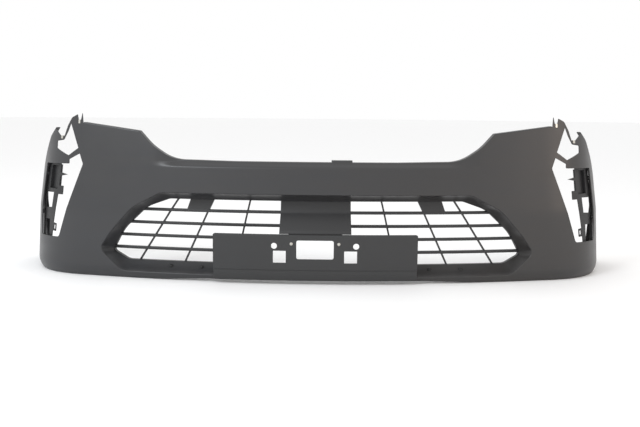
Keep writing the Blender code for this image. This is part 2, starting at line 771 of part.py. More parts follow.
def make_spring_nuts():
    """Folded steel clips that straddle the top edge of each wing."""
    for side in (-1, 1):
        for where, (s, edge, width, leg) in SPRING_NUTS.items():
            front, back = -GAP, WALL + 2 * GAP
            top, foot = edge + GAP, edge - leg
            profile = [
                (front, foot),
                (front, top),
                (back, top),
                (back, foot),
                (back + SPRING_STEEL, foot),
                (back + SPRING_STEEL, top + SPRING_STEEL),
                (front - SPRING_STEEL, top + SPRING_STEEL),
                (front - SPRING_STEEL, foot),
            ]
            start, end = side * s - width / 2, side * s + width / 2
            add(sided(f"{where}_spring_nut", side), bend(bar(profile, start, end)), "plated_steel")


clear_scene()
make_skin()
make_grille()
make_plate_bracket()
for wing in (-1, 1):
    make_bezel_bracket(wing)
make_screws()
make_retainers()
make_spring_nuts()
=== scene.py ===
"""The finished look of the front bumper cover: skin, grille, plate bracket, bezel brackets, fasteners.

Mouldings are drawn flat: s runs along the bumper from its middle, d runs back from its face and
z runs up. A Geometry Nodes group then wraps the flat solid round the plan curve of the bumper.
"""

import math

import bmesh
import bpy
from mathutils import Euler, Matrix, Vector


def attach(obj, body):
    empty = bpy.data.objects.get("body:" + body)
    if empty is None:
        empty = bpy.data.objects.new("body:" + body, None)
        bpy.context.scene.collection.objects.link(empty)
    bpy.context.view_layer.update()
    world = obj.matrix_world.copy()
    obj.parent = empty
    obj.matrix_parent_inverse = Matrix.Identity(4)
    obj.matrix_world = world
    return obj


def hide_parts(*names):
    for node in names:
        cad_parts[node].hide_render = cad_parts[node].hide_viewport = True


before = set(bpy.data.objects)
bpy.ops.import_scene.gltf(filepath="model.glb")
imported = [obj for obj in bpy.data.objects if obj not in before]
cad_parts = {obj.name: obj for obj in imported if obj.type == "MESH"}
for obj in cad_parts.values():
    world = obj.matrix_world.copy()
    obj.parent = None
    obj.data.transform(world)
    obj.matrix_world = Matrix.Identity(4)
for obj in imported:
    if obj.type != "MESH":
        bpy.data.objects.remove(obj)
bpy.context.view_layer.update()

# Plan curve: the face bows slowly, then turns round each corner into the wing.
BOW_ANGLE = math.radians(12.0)
BOW_LENGTH = 0.64
CORNER_START = 0.705
CORNER_LENGTH = 0.38
CORNER_TURN = math.radians(68.0)
WING_TURN = math.radians(6.0)
WING_TURN_LENGTH = 0.20
PLAN_STEP = 0.0025
PLAN_LENGTH = 1.25
FACE_Y = -0.2050

# Side profile of the face.
PROFILE = {
    "Lean Start": 0.20,
    "Lean": 0.14,
    "Wing Lean": 0.066,
    "Wing Start": 0.70,
    "Wing End": 0.95,
    "Tuck Height": 0.030,
    "Tuck": 0.008,
    "Crease Height": 0.335,
    "Band Height": 0.020,
    "Band Depth": 0.017,
    "Fade Start": 0.40,
    "Fade End": 0.50,
    "Base Height": 0.0085,
}

# Where the flat solids are cut so that they can curve.
FACE_CUT = 0.014
CORNER_CUT = 0.009
HEIGHT_CUT = 0.022
BAND_CUTS = [0.3355 + 0.002 * i for i in range(10)]
TUCK_CUTS = [0.005 * i for i in range(-1, 7)]

# Outlines of the skin's right half, as corners (s, z, radius).
WALL = 0.003
TOP_MIDDLE = 0.354
TAB = (0.047, 0.110, 0.006)
TOP_EDGE = [
    (0.250, 0.354, 0.0),
    (0.360, 0.356, 0.0),
    (0.438, 0.357, 0.12),
    (0.504, 0.400, 0.20),
    (0.546, 0.442, 0.006),
    (0.731, 0.465, 0.0),
]
WING_TOP = [
    (0.738, 0.492, 0.0),
    (0.7425, 0.471, 0.0),
    (0.752, 0.471, 0.0),
    (0.757, 0.488, 0.0),
    (0.779, 0.479, 0.015),
    (0.797, 0.453, 0.030),
    (0.811, 0.421, 0.004),
    (0.832, 0.421, 0.004),
    (0.858, 0.436, 0.0),
    (0.871, 0.447, 0.0),
]
WHEEL_ARCH_EDGE = [
    (0.914, 0.420, 0.05),
    (0.957, 0.368, 0.15),
    (1.020, 0.280, 0.20),
    (1.090, 0.180, 0.25),
    (1.165, 0.060, 0.15),
    (1.180, -0.0085, 0.030),
]
# The lower edge drops a little towards the corners, and the cover stands on that part.
LOWER_EDGE = [(0.500, -0.0085, 0.30), (0.330, 0.0, 0.30)]
GRILLE_OPENING = [
    (0.470, 0.258, 0.05),
    (0.560, 0.212, 0.12),
    (0.635, 0.130, 0.15),
    (0.670, 0.080, 0.02),
    (0.600, 0.015, 0.05),
]
UPPER_CUTOUT = [
    (0.783, 0.462, 0.0),
    (0.770, 0.436, 0.0),
    (0.748, 0.386, 0.0),
    (0.787, 0.362, 0.004),
    (0.850, 0.383, 0.003),
    (0.852, 0.405, 0.004),
    (0.814, 0.409, 0.008),
    (0.795, 0.436, 0.030),
]
LOWER_CUTOUT = [
    (0.742, 0.369, 0.0),
    (0.729, 0.3375, 0.010),
    (0.8194, 0.108, 0.012),
    (0.930, 0.104, 0.008),
    (0.938, 0.160, 0.050),
    (0.934, 0.250, 0.100),
    (0.925, 0.334, 0.004),
    (0.782, 0.337, 0.003),
    (0.783, 0.350, 0.0),
]
TOP_RETURN = 0.020
TOP_RETURN_END = 0.7315
LOWER_RETURN = 0.015
LOWER_RETURN_START = 0.8655
FOLD_RADIUS = 0.0035
FOLD_STEPS = 5

# The recess round the grille.
RECESS_DEPTH = 0.045
RECESS_END = [
    (0.455, 0.236, 0.04),
    (0.532, 0.209, 0.10),
    (0.612, 0.137, 0.15),
    (0.650, 0.070, 0.012),
    (0.598, 0.042, 0.04),
]
RECESS_CURVE = 1.7
RECESS_RINGS = 9
RECESS_LIP = 0.004
OPENING_LOW = 0.015

# Grille.
GRILLE_FRONT = 0.0490
GRILLE_BACK = 0.0632
FRAME_OVERLAP = 0.011
SLAT_HEIGHTS = (0.201, 0.160, 0.1195, 0.0795)
SLAT_THICKNESS = 0.009
SLAT_FRONT, SLAT_BACK = 0.0500, 0.0622
SLAT_ROUNDING = 0.0026
UPRIGHTS = (
    ((0.201, 0.242), (0.249, 0.037)),
    ((0.315, 0.242), (0.413, 0.037)),
    ((0.427, 0.242), (0.563, 0.037)),
)
UPRIGHT_THICKNESS = 0.005
UPRIGHT_FRONT, UPRIGHT_BACK = 0.0517, 0.0607
UPRIGHT_ROUNDING = 0.0012
BLANK_PATCH = ((0.313, 0.242), (0.389, 0.242), (0.402, 0.203), (0.331, 0.203))
PATCH_FRONT, PATCH_BACK = 0.0507, 0.0537
MIDDLE_HALF = 0.1075
MIDDLE_FOOT_HALF = 0.080
MIDDLE_WALL = 0.0035
MIDDLE_PROFILE = ((0.0507, 0.242), (0.0495, 0.205), (0.0060, 0.152), (0.0012, 0.143))
MIDDLE_FOOT = (0.056, 0.145)
FOOT_CORNER = 0.003
MIDDLE_FRONT = 0.0010
FOOT_WINDOW = (0.0, 0.099, 0.119, 0.066, 0.008)
CHEEK_WALL = 0.0030
END_POST = (0.138, 0.146)
END_POST_TOP = 0.1238
END_POST_LOW = 0.037
END_POST_CORNER = 0.0015

# Number-plate bracket.
PLATE_HALF = 0.304
PLATE_LOW, PLATE_HIGH = 0.003, 0.143
PLATE_FRONT = -0.014
PLATE_BACK = -0.001
PLATE_STEP_HEIGHT = 0.038
PLATE_STEP = 0.0025
PLATE_WALL = 0.0025
PLATE_CORNER = 0.004
PLATE_ROUNDING = 0.0022
PLATE_BOLT_SPACING = 0.210
WINDOW = (0.0, 0.099, 0.110, 0.056, 0.006)
SQUARE_HOLE = (PLATE_BOLT_SPACING / 2, 0.0775, 0.038, 0.036, 0.001)
ROUND_HOLE = (0.121, 0.110, 0.009)
PLATE_SCREW = (0.070, 0.1165)
PLATE_SCREW_HOLE = 0.0026
PLATE_BOSS_RADIUS = 0.0055

# Bezel brackets.
BEZEL_FRONT = 0.0113
BEZEL_WALL = 0.0025
BEZEL_OUTLINE = [
    (0.876, 0.085, 0.0),
    (0.869, 0.122, 0.0),
    (0.849, 0.121, 0.002),
    (0.845, 0.146, 0.002),
    (0.863, 0.148, 0.0),
    (0.847, 0.205, 0.0),
    (0.841, 0.239, 0.0),
    (0.815, 0.239, 0.002),
    (0.814, 0.266, 0.002),
    (0.837, 0.266, 0.0),
    (0.8345, 0.296, 0.0),
    (0.796, 0.302, 0.0),
    (0.834, 0.308, 0.0),
    (0.833, 0.346, 0.0),
    (0.950, 0.346, 0.004),
    (0.956, 0.250, 0.100),
    (0.968, 0.155, 0.100),
    (0.972, 0.085, 0.004),
]
BEZEL_WINDOWS = (
    ((0.874, 0.196), (0.940, 0.190), (0.938, 0.240), (0.868, 0.243)),
    ((0.893, 0.100), (0.944, 0.100), (0.943, 0.154), (0.889, 0.157)),
    ((0.8525, 0.1275), (0.8605, 0.1285), (0.8585, 0.1415), (0.8505, 0.1405)),
)
POCKET = ((0.846, 0.255), (0.905, 0.255), (0.902, 0.328), (0.844, 0.328))
POCKET_DEPTH = 0.010
BEZEL_SCREWS = ((0.940, 0.300), (0.954, 0.175), (0.915, 0.0930))
BOSS_RADIUS = 0.006
BOSS_END = 0.011
BEZEL_SCREW_HOLE = 0.0027
BEZEL_SCREW_LIFT = 0.0013

# Fasteners.
RETAINERS = (0.351, 0.449)
RETAINER_PLACE = (0.0315, 0.0307)
RETAINER_TILT = math.atan2(0.0225, 0.0189)
GROMMET_HEAD, GROMMET_HEAD_HEIGHT = 0.0070, 0.0014
GROMMET_BARREL, GROMMET_LENGTH = 0.0041, 0.0125
GROMMET_BORE = 0.0024
PIN_RADIUS, PIN_LENGTH = 0.0020, 0.0155
PIN_HEAD, PIN_HEAD_HEIGHT = 0.0048, 0.0020
PIN_SLOT = (0.0030, 0.0005, 0.0008)
SCREW_SIZES = {
    "Head Radius": 0.0048,
    "Head Height": 0.0024,
    "Shank Radius": 0.0017,
    "Thread Pitch": 0.0016,
}
PLATE_SCREW_LENGTH = 0.022
BEZEL_SCREW_LENGTH = 0.0092
SPRING_NUTS = {"inner": (0.7473, 0.471, 0.007, 0.010), "outer": (0.8215, 0.421, 0.011, 0.008)}
SPRING_STEEL = 0.0010
GAP = 0.0004
ROUND_SIDES = 48
ARC_PIECES = 10

# Camera and floor.
AIM = Vector((0.0117, -0.065, 0.1952))
CAMERA_DISTANCE = 2.389
FLOOR_RADIUS = 30.0
CAMERA_AZIMUTH = math.radians(0.82)
CAMERA_ELEVATION = math.radians(8.0)
CAMERA_ROLL = math.radians(0.51)
LENS = 42.9


# ---------------------------------------------------------------- node trees


class Value:
    """An output of a node. Operators on it add Math nodes to its tree."""

    def __init__(self, tree, socket):
        self.tree = tree
        self.socket = socket

    def other(self, name):
        """Another output of the same node."""
        return Value(self.tree, self.socket.node.outputs[name])

    def __add__(self, other):
        return self.tree.maths("ADD", self, other)

    def __sub__(self, other):
        return self.tree.maths("SUBTRACT", self, other)

    def __rsub__(self, other):
        return self.tree.maths("SUBTRACT", other, self)

    def __mul__(self, other):
        return self.tree.maths("MULTIPLY", self, other)

    def __truediv__(self, other):
        return self.tree.maths("DIVIDE", self, other)

    def __pow__(self, other):
        return self.tree.maths("POWER", self, other)

    __radd__ = __add__
    __rmul__ = __mul__


class Tree:
    """A node tree that is built by expressions."""

    def __init__(self, tree):
        self.tree = tree

    def add(self, kind, settings=None, inputs=None, output=0):
        """Adds a node: settings first, then its inputs as values or links. Gives one output."""
        node = self.tree.nodes.new(kind)
        for name, setting in (settings or {}).items():
            if name == "stops":
                self.set_stops(node.color_ramp, setting)
            else:
                setattr(node, name, setting)
        for name, value in (inputs or {}).items():
            socket = node.inputs[name]
            for single in value if isinstance(value, list) else [value]:
                if isinstance(single, Value):
                    self.tree.links.new(single.socket, socket)
                else:
                    socket.default_value = single
        return Value(self, node.outputs[output]) if node.outputs else node

    @staticmethod
    def set_stops(ramp, stops):
        while len(ramp.elements) < len(stops):
            ramp.elements.new(0.5)
        for element, (place, level) in zip(ramp.elements, stops):
            element.position = place
            element.color = (level, level, level, 1.0)

    def maths(self, operation, *values):
        return self.add("ShaderNodeMath", {"operation": operation}, dict(enumerate(values)))

    def vector(self, operation, *values):
        return self.add("ShaderNodeVectorMath", {"operation": operation}, dict(enumerate(values)))

    def mixed(self, factor, first, second):
        """A colour between two colours."""
        inputs = {"Factor": factor, 6: first, 7: second}
        return self.add("ShaderNodeMix", {"data_type": "RGBA"}, inputs, output=2)


SOCKET_KINDS = {
    "Geometry": "NodeSocketGeometry",
    "Plan": "NodeSocketObject",
    "Finish": "NodeSocketMaterial",
    "Place": "NodeSocketVector",
    "Turn": "NodeSocketVector",
}


def geometry_tree(name, inputs):
    """An empty Geometry Nodes tree with these named inputs. Gives the tree and its input values."""
    group = bpy.data.node_groups.new(name, "GeometryNodeTree")
    group.interface.new_socket("Geometry", in_out="OUTPUT", socket_type="NodeSocketGeometry")
    for socket_name in inputs:
        kind = SOCKET_KINDS.get(socket_name, "NodeSocketFloat")
        group.interface.new_socket(socket_name, in_out="INPUT", socket_type=kind)
    tree = Tree(group)
    entry = tree.add("NodeGroupInput")
    return tree, {socket_name: entry.other(socket_name) for socket_name in inputs}


def finish_tree(tree, geometry, material):
    """Ends a tree in real geometry with its finish."""
    real = tree.add("GeometryNodeRealizeInstances", inputs={"Geometry": geometry})
    smooth = tree.add("GeometryNodeSetShadeSmooth", inputs={"Geometry": real, "Shade Smooth": True})
    done = tree.add("GeometryNodeSetMaterial", inputs={"Geometry": smooth, "Material": material})
    tree.add("NodeGroupOutput", inputs={"Geometry": done})
    return tree.tree


def wrapping(tree, geometry, given):
    """Moves flat geometry (s, d, z) round the plan curve and back by the side profile."""
    flat = tree.add("ShaderNodeSeparateXYZ", inputs={0: tree.add("GeometryNodeInputPosition")})
    d, z = flat.other("Y"), flat.other("Z")
    plan = tree.add("GeometryNodeObjectInfo", inputs={"Object": given["Plan"]}, output="Geometry")
    along = flat + PLAN_LENGTH
    line = tree.add(
        "GeometryNodeSampleCurve",
        {"mode": "LENGTH", "use_all_curves": True},
        {"Curves": plan, "Length": along},
        output="Position",
    )
    tangent = tree.add("ShaderNodeSeparateXYZ", inputs={0: line.other("Tangent")})

    def ramp(value, start, end):
        settings = {"interpolation_type": "SMOOTHSTEP"}
        return tree.add("ShaderNodeMapRange", settings, {"Value": value, "From Min": start, "From Max": end})

    lean = given["Lean"] * tree.maths("MAXIMUM", z - given["Lean Start"], 0.0)
    tuck = given["Tuck"] * tree.maths("MAXIMUM", 1.0 - z / given["Tuck Height"], 0.0) ** 2.0
    crease = given["Crease Height"]
    band = given["Band Depth"] * ramp(z, crease, crease + given["Band Height"])
    away = tree.maths("ABSOLUTE", flat)
    band = band * (1.0 - ramp(away, given["Fade Start"], given["Fade End"]))
    wing = given["Wing Lean"] * tree.maths("MINIMUM", z, given["Lean Start"])
    wing = wing * ramp(away, given["Wing Start"], given["Wing End"])
    depth = d + lean + wing + tuck + band
    back = tree.add(
        "ShaderNodeCombineXYZ",
        inputs={"X": tangent.other("Y") * depth * -1.0, "Y": tangent * depth, "Z": z + given["Base Height"]},
    )
    place = tree.vector("ADD", line, back)
    return tree.add("GeometryNodeSetPosition", inputs={"Geometry": geometry, "Position": place})


def make_wrap_tree():
    tree, given = geometry_tree("wrap_round_plan", ["Geometry", "Plan", *PROFILE, "Finish"])
    return finish_tree(tree, wrapping(tree, given["Geometry"], given), given["Finish"])


def make_bar_tree():
    """Sweeps a rounded bar along each edge of a flat drawing, then wraps it."""
    names = ["Geometry", "Plan", *PROFILE, "Bar Depth", "Bar Thickness", "Rounding", "Step", "Finish"]
    tree, given = geometry_tree("bars_along_lines", names)
    lines = tree.add("GeometryNodeMeshToCurve", inputs={"Mesh": given["Geometry"]})
    lines = tree.add(
        "GeometryNodeResampleCurve", {"mode": "LENGTH"}, {"Curve": lines, "Length": given["Step"]}
    )
    lines = tree.add(
        "GeometryNodeSetCurveNormal", {"mode": "FREE"}, {"Curve": lines, "Normal": (0.0, 1.0, 0.0)}
    )
    profile = tree.add(
        "GeometryNodeCurvePrimitiveQuadrilateral",
        {"mode": "RECTANGLE"},
        {"Width": given["Bar Depth"], "Height": given["Bar Thickness"]},
    )
    corners = {"Curve": profile, "Count": 3, "Radius": given["Rounding"]}
    profile = tree.add("GeometryNodeFilletCurve", {"mode": "POLY"}, corners)
    inputs = {"Curve": lines, "Profile Curve": profile, "Fill Caps": True}
    bars = tree.add("GeometryNodeCurveToMesh", inputs=inputs)
    return finish_tree(tree, wrapping(tree, bars, given), given["Finish"])


def make_screw_tree():
    """A washer-head screw with a six-sided driving head and a threaded shank, set at a place."""
    names = ["Geometry", *SCREW_SIZES, "Length", "Place", "Turn", "Finish"]
    tree, given = geometry_tree("screw", names)
    head, height = given["Head Radius"], given["Head Height"]
    shank, length, pitch = given["Shank Radius"], given["Length"], given["Thread Pitch"]

    def cylinder(sides, radius, low, high):
        inputs = {"Vertices": sides, "Radius": radius, "Depth": high - low}
        made = tree.add("GeometryNodeMeshCylinder", inputs=inputs)
        lift = tree.add("ShaderNodeCombineXYZ", inputs={"Z": (high + low) * 0.5})
        return tree.add("GeometryNodeTransform", inputs={"Geometry": made, "Translation": lift})

    def cone(sides, wide, narrow, low, high):
        inputs = {"Vertices": sides, "Radius Bottom": wide, "Radius Top": narrow, "Depth": high - low}
        made = tree.add("GeometryNodeMeshCone", inputs=inputs)
        lift = tree.add("ShaderNodeCombineXYZ", inputs={"Z": low})
        return tree.add("GeometryNodeTransform", inputs={"Geometry": made, "Translation": lift})

    washer = cone(40, head, head * 0.82, height * 0.0, height * 0.36)
    driving = cone(6, head * 0.70, head * 0.66, height * 0.30, height * 0.86)
    dome = cone(24, head * 0.52, head * 0.38, height * 0.84, height)
    core = cylinder(24, shank, length * -1.0, height * 0.1)
    turns = tree.maths("FLOOR", length * 0.86 / pitch)
    spiral = tree.add(
        "GeometryNodeCurveSpiral",
        inputs={
            "Resolution": 18,
            "Rotations": turns,
            "Start Radius": shank * 0.88,
            "End Radius": shank,
            "Height": turns * pitch,
        },
    )
    drop = tree.add("ShaderNodeCombineXYZ", inputs={"Z": length * -0.98})
    spiral = tree.add("GeometryNodeTransform", inputs={"Geometry": spiral, "Translation": drop})
    ridge = tree.add("GeometryNodeCurvePrimitiveCircle", inputs={"Resolution": 4, "Radius": pitch * 0.24})
    inputs = {"Curve": spiral, "Profile Curve": ridge, "Fill Caps": True}
    thread = tree.add("GeometryNodeCurveToMesh", inputs=inputs)
    parts = [washer, driving, dome, core, thread]
    joined = tree.add("GeometryNodeJoinGeometry", inputs={"Geometry": parts})
    inputs = {"Geometry": joined, "Translation": given["Place"], "Rotation": given["Turn"]}
    return finish_tree(tree, tree.add("GeometryNodeTransform", inputs=inputs), given["Finish"])


# ---------------------------------------------------------------- plan curve


def heading(s):
    """Angle between the face and the X axis at this distance from the middle."""
    s = abs(s)
    bow = BOW_ANGLE * min(s / BOW_LENGTH, 1.0)
    corner = CORNER_TURN * smoothstep(s, CORNER_START, CORNER_START + CORNER_LENGTH)
    wing = WING_TURN * min(max((s - CORNER_START - CORNER_LENGTH) / WING_TURN_LENGTH, 0.0), 1.0)
    return bow + corner + wing


def smoothstep(value, low, high):
    t = min(max((value - low) / (high - low), 0.0), 1.0)
    return t * t * (3.0 - 2.0 * t)


def plan_points():
    """Points of the right half of the plan curve, from the middle outwards."""
    points = [(0.0, FACE_Y)]
    for i in range(round(PLAN_LENGTH / PLAN_STEP)):
        angle = heading((i + 0.5) * PLAN_STEP)
        x, y = points[-1]
        points.append((x + math.cos(angle) * PLAN_STEP, y + math.sin(angle) * PLAN_STEP))
    return points


PLAN = plan_points()


def make_plan_curve():
    left = [(-x, y) for x, y in reversed(PLAN[1:])]
    points = left + PLAN
    curve = bpy.data.curves.new("plan_curve", "CURVE")
    curve.dimensions = "3D"
    spline = curve.splines.new("POLY")
    spline.points.add(len(points) - 1)
    for point, (x, y) in zip(spline.points, points):
        point.co = (x, y, 0.0, 1.0)
    item = bpy.data.objects.new("plan_curve", curve)
    bpy.context.scene.collection.objects.link(item)
    return item


def set_back(s, z):
    lean = PROFILE["Lean"] * max(z - PROFILE["Lean Start"], 0.0)
    wing = smoothstep(abs(s), PROFILE["Wing Start"], PROFILE["Wing End"])
    lean += PROFILE["Wing Lean"] * min(z, PROFILE["Lean Start"]) * wing
    tuck = PROFILE["Tuck"] * max(1.0 - z / PROFILE["Tuck Height"], 0.0) ** 2
    crease = PROFILE["Crease Height"]
    band = PROFILE["Band Depth"] * smoothstep(z, crease, crease + PROFILE["Band Height"])
    return lean + tuck + band * (1.0 - smoothstep(abs(s), PROFILE["Fade Start"], PROFILE["Fade End"]))


def wrap(s, d, z):
    """World place of a flat point."""
    d += set_back(s, z)
    side = -1.0 if s < 0.0 else 1.0
    steps = abs(s) / PLAN_STEP
    i = min(int(steps), len(PLAN) - 2)
    part = steps - i
    x = PLAN[i][0] + (PLAN[i + 1][0] - PLAN[i][0]) * part
    y = PLAN[i][1] + (PLAN[i + 1][1] - PLAN[i][1]) * part
    angle = heading(s)
    place = (side * (x - d * math.sin(angle)), y + d * math.cos(angle), z + PROFILE["Base Height"])
    return Vector(place)


def local_frame(s, d, z, tilt=0.0):
    """World matrix at a flat point: local +Z points out of the face, tipped up by tilt."""
    turn = Matrix.Rotation(heading(s) * (-1.0 if s < 0.0 else 1.0), 4, "Z")
    tip = Matrix.Rotation(math.pi / 2.0 - tilt, 4, "X")
    return Matrix.Translation(wrap(s, d, z)) @ turn @ tip


# ---------------------------------------------------------------- flat outlines


def rounded(corners, pieces=ARC_PIECES):
    """The closed outline of these corners (s, z, radius), each radius as an arc."""
    outline = []
    for i, (s, z, radius) in enumerate(corners):
        here = Vector((s, z))
        if radius == 0.0:
            outline.append((s, z))
            continue
        before = (Vector(corners[i - 1][:2]) - here).normalized()
        after = (Vector(corners[(i + 1) % len(corners)][:2]) - here).normalized()
        half = before.angle(after) / 2.0
        middle = here + (before + after).normalized() * radius / math.sin(half)
        start = here + before * radius / math.tan(half) - middle
        end = here + after * radius / math.tan(half) - middle
        sweep = start.angle_signed(end)
        for k in range(pieces + 1):
            turned_start = start.copy()
            turned_start.rotate(Matrix.Rotation(-sweep * k / pieces, 2))
            outline.append(tuple(middle + turned_start))
    return outline


def mirrored(corners):
    """The same corners on the left side, in the order that keeps going round."""
    return [(-corner[0], *corner[1:]) for corner in reversed(corners)]


def on_side(corners, side):
    return list(corners) if side > 0 else mirrored(corners)


def outward(points):
    """How far each point of a closed outline moves when the outline grows by one."""
    area = sum(points[i - 1][0] * z - s * points[i - 1][1] for i, (s, z) in enumerate(points))
    moves = []
    for i, (s, z) in enumerate(points):
        here = Vector((s, z))
        before = (here - Vector(points[i - 1])).normalized()
        after = (Vector(points[(i + 1) % len(points)]) - here).normalized()
        normal = Vector((before.y + after.y, -before.x - after.x)).normalized()
        stretch = max(normal.dot(Vector((before.y, -before.x))), 0.5)
        moves.append(normal / stretch * (1.0 if area > 0.0 else -1.0))
    return moves


def grown(points, distance):
    return [(s + move.x * distance, z + move.y * distance) for (s, z), move in zip(points, outward(points))]


def rectangle(s, z, width, height, radius):
    half_width, half_height = width / 2.0, height / 2.0
    return [
        (s - half_width, z - half_height, radius),
        (s + half_width, z - half_height, radius),
        (s + half_width, z + half_height, radius),
        (s - half_width, z + half_height, radius),
    ]


def circle(s, z, radius, sides=ROUND_SIDES):
    turns = [2.0 * math.pi * i / sides for i in range(sides)]
    return [(s + radius * math.cos(turn), z + radius * math.sin(turn)) for turn in turns]


def grille_opening():
    return rounded(mirrored(GRILLE_OPENING) + GRILLE_OPENING)


def recess_loop():
    """The smaller loop at the back of the recess."""
    return rounded(mirrored(RECESS_END) + RECESS_END)


def reach(loop, z):
    """The furthest place along s where a closed outline crosses this height."""
    crossings = []
    for i, (s1, z1) in enumerate(loop):
        s0, z0 = loop[i - 1]
        if (z0 - z) * (z1 - z) < 0.0:
            crossings.append(s0 + (s1 - s0) * (z - z0) / (z1 - z0))
    return max(crossings)


# ---------------------------------------------------------------- flat solids


def sheet(outline, holes=()):
    """A flat face at d = 0 with holes. Also gives the corners of each outline, in order."""
    bm = bmesh.new()
    rings = []
    for points in (outline, *holes):
        rings.append([bm.verts.new((s, 0.0, z)) for s, z in points])
    edges = [bm.edges.new((ring[i - 1], ring[i])) for ring in rings for i in range(len(ring))]
    bmesh.ops.triangle_fill(bm, edges=edges, use_beauty=True, use_dissolve=False)
    return bm, rings


def ring_on(bm, ring, places):
    """Joins a ring of corners to a new ring. A place of None leaves the edge open there."""
    new = [bm.verts.new(place) if place else None for place in places]
    for i in range(len(ring)):
        if new[i - 1] and new[i] and ring[i - 1] and ring[i]:
            bm.faces.new((ring[i - 1], ring[i], new[i], new[i - 1]))
    return new


def face_forward(bm):
    """Turns an open sheet so that its face looks along -Y."""
    bmesh.ops.recalc_face_normals(bm, faces=bm.faces)
    bm.normal_update()
    if sum(face.normal.y * face.calc_area() for face in bm.faces) > 0.0:
        bmesh.ops.reverse_faces(bm, faces=bm.faces)
    bm.normal_update()


def fold_back(bm, ring, points, moves, depths, radius):
    """Rolls the edge of a sheet back round a radius, then straight on to each corner's depth."""
    for step in range(1, FOLD_STEPS + 1):
        turn = math.pi / 2.0 * step / FOLD_STEPS
        out, back = radius * (math.sin(turn) - 1.0), radius * (1.0 - math.cos(turn))
        places = [
            (s + move.x * out, back, z + move.y * out) if depth else None
            for (s, z), move, depth in zip(points, moves, depths)
        ]
        ring = ring_on(bm, ring, places)
    places = [(s, depth, z) if depth else None for (s, z), depth in zip(points, depths)]
    return ring_on(bm, ring, places)


def to_mesh(bm):
    mesh = bpy.data.meshes.new("flat")
    bm.normal_update()
    bm.to_mesh(mesh)
    bm.free()
    return mesh


def evaluated(mesh, modifiers):
    """This mesh with modifiers (kind, settings) applied to it."""
    holder = bpy.data.objects.new("holder", mesh)
    bpy.context.scene.collection.objects.link(holder)
    for kind, settings in modifiers:
        modifier = holder.modifiers.new(kind.lower(), kind)
        for key, value in settings.items():
            setattr(modifier, key, value)
    graph = bpy.context.evaluated_depsgraph_get()
    result = bpy.data.meshes.new_from_object(holder.evaluated_get(graph))
    bpy.data.objects.remove(holder)
    return result


def rounding(width, segments=2, angle=50.0):
    settings = {
        "width": width,
        "segments": segments,
        "limit_method": "ANGLE",
        "angle_limit": math.radians(angle),
        "use_clamp_overlap": True,
    }
    return ("BEVEL", settings)


def thickened(bm, wall, edge=0.0005):
    """The sheet as a solid whose wall lies behind its face, with its edges eased."""
    face_forward(bm)
    bmesh.ops.dissolve_limit(bm, angle_limit=math.radians(0.1), verts=bm.verts, edges=bm.edges)
    solid = ("SOLIDIFY", {"thickness": wall, "offset": -1.0, "use_even_offset": True})
    return evaluated(to_mesh(bm), [solid, rounding(edge)])


def slab(outline, front, back, holes=(), edge=0.0):
    """A solid with this outline that reaches from d = front to d = back."""
    bm, _ = sheet(outline, holes)
    bmesh.ops.dissolve_limit(bm, angle_limit=math.radians(0.1), verts=bm.verts, edges=bm.edges)
    bmesh.ops.translate(bm, verts=bm.verts, vec=(0.0, front, 0.0))
    made = bmesh.ops.extrude_face_region(bm, geom=bm.faces[:])["geom"]
    verts = [item for item in made if isinstance(item, bmesh.types.BMVert)]
    bmesh.ops.translate(bm, verts=verts, vec=(0.0, back - front, 0.0))
    bmesh.ops.recalc_face_normals(bm, faces=bm.faces)
    mesh = to_mesh(bm)
    return evaluated(mesh, [rounding(edge)]) if edge else mesh


def bar(profile, start, end, edge=0.0):
    """A solid with this (d, z) profile that runs along s from start to end."""
    bm = bmesh.new()
    face = bm.faces.new([bm.verts.new((start, d, z)) for d, z in profile])
    made = bmesh.ops.extrude_face_region(bm, geom=[face])["geom"]
    verts = [item for item in made if isinstance(item, bmesh.types.BMVert)]
    bmesh.ops.translate(bm, verts=verts, vec=(end - start, 0.0, 0.0))
    bmesh.ops.recalc_face_normals(bm, faces=bm.faces)
    mesh = to_mesh(bm)
    return evaluated(mesh, [rounding(edge)]) if edge else mesh


def turned(profile, sides=ROUND_SIDES):
    """A closed solid of revolution about Z from (radius, height) points."""
    bm = bmesh.new()
    verts = [bm.verts.new((radius, 0.0, height)) for radius, height in profile]
    edges = [bm.edges.new(pair) for pair in zip(verts, verts[1:])]
    if profile[0][0] > 0.0:
        edges.append(bm.edges.new((verts[-1], verts[0])))
    whole = {"cent": (0, 0, 0), "axis": (0, 0, 1), "angle": 2.0 * math.pi, "steps": sides}
    bmesh.ops.spin(bm, geom=verts + edges, **whole)
    bmesh.ops.remove_doubles(bm, verts=bm.verts, dist=1e-6)
    bmesh.ops.recalc_face_normals(bm, faces=bm.faces)
    return to_mesh(bm)


def combined(mesh, other, operation):
    """The union of two closed meshes, or the first with the second cut away."""
    tool = bpy.data.objects.new("tool", other)
    bpy.context.scene.collection.objects.link(tool)
    result = evaluated(mesh, [("BOOLEAN", {"operation": operation, "object": tool, "solver": "EXACT"})])
    bpy.data.objects.remove(tool)
    return result


def merged(meshes):
    bm = bmesh.new()
    for mesh in meshes:
        bm.from_mesh(mesh)
    return to_mesh(bm)


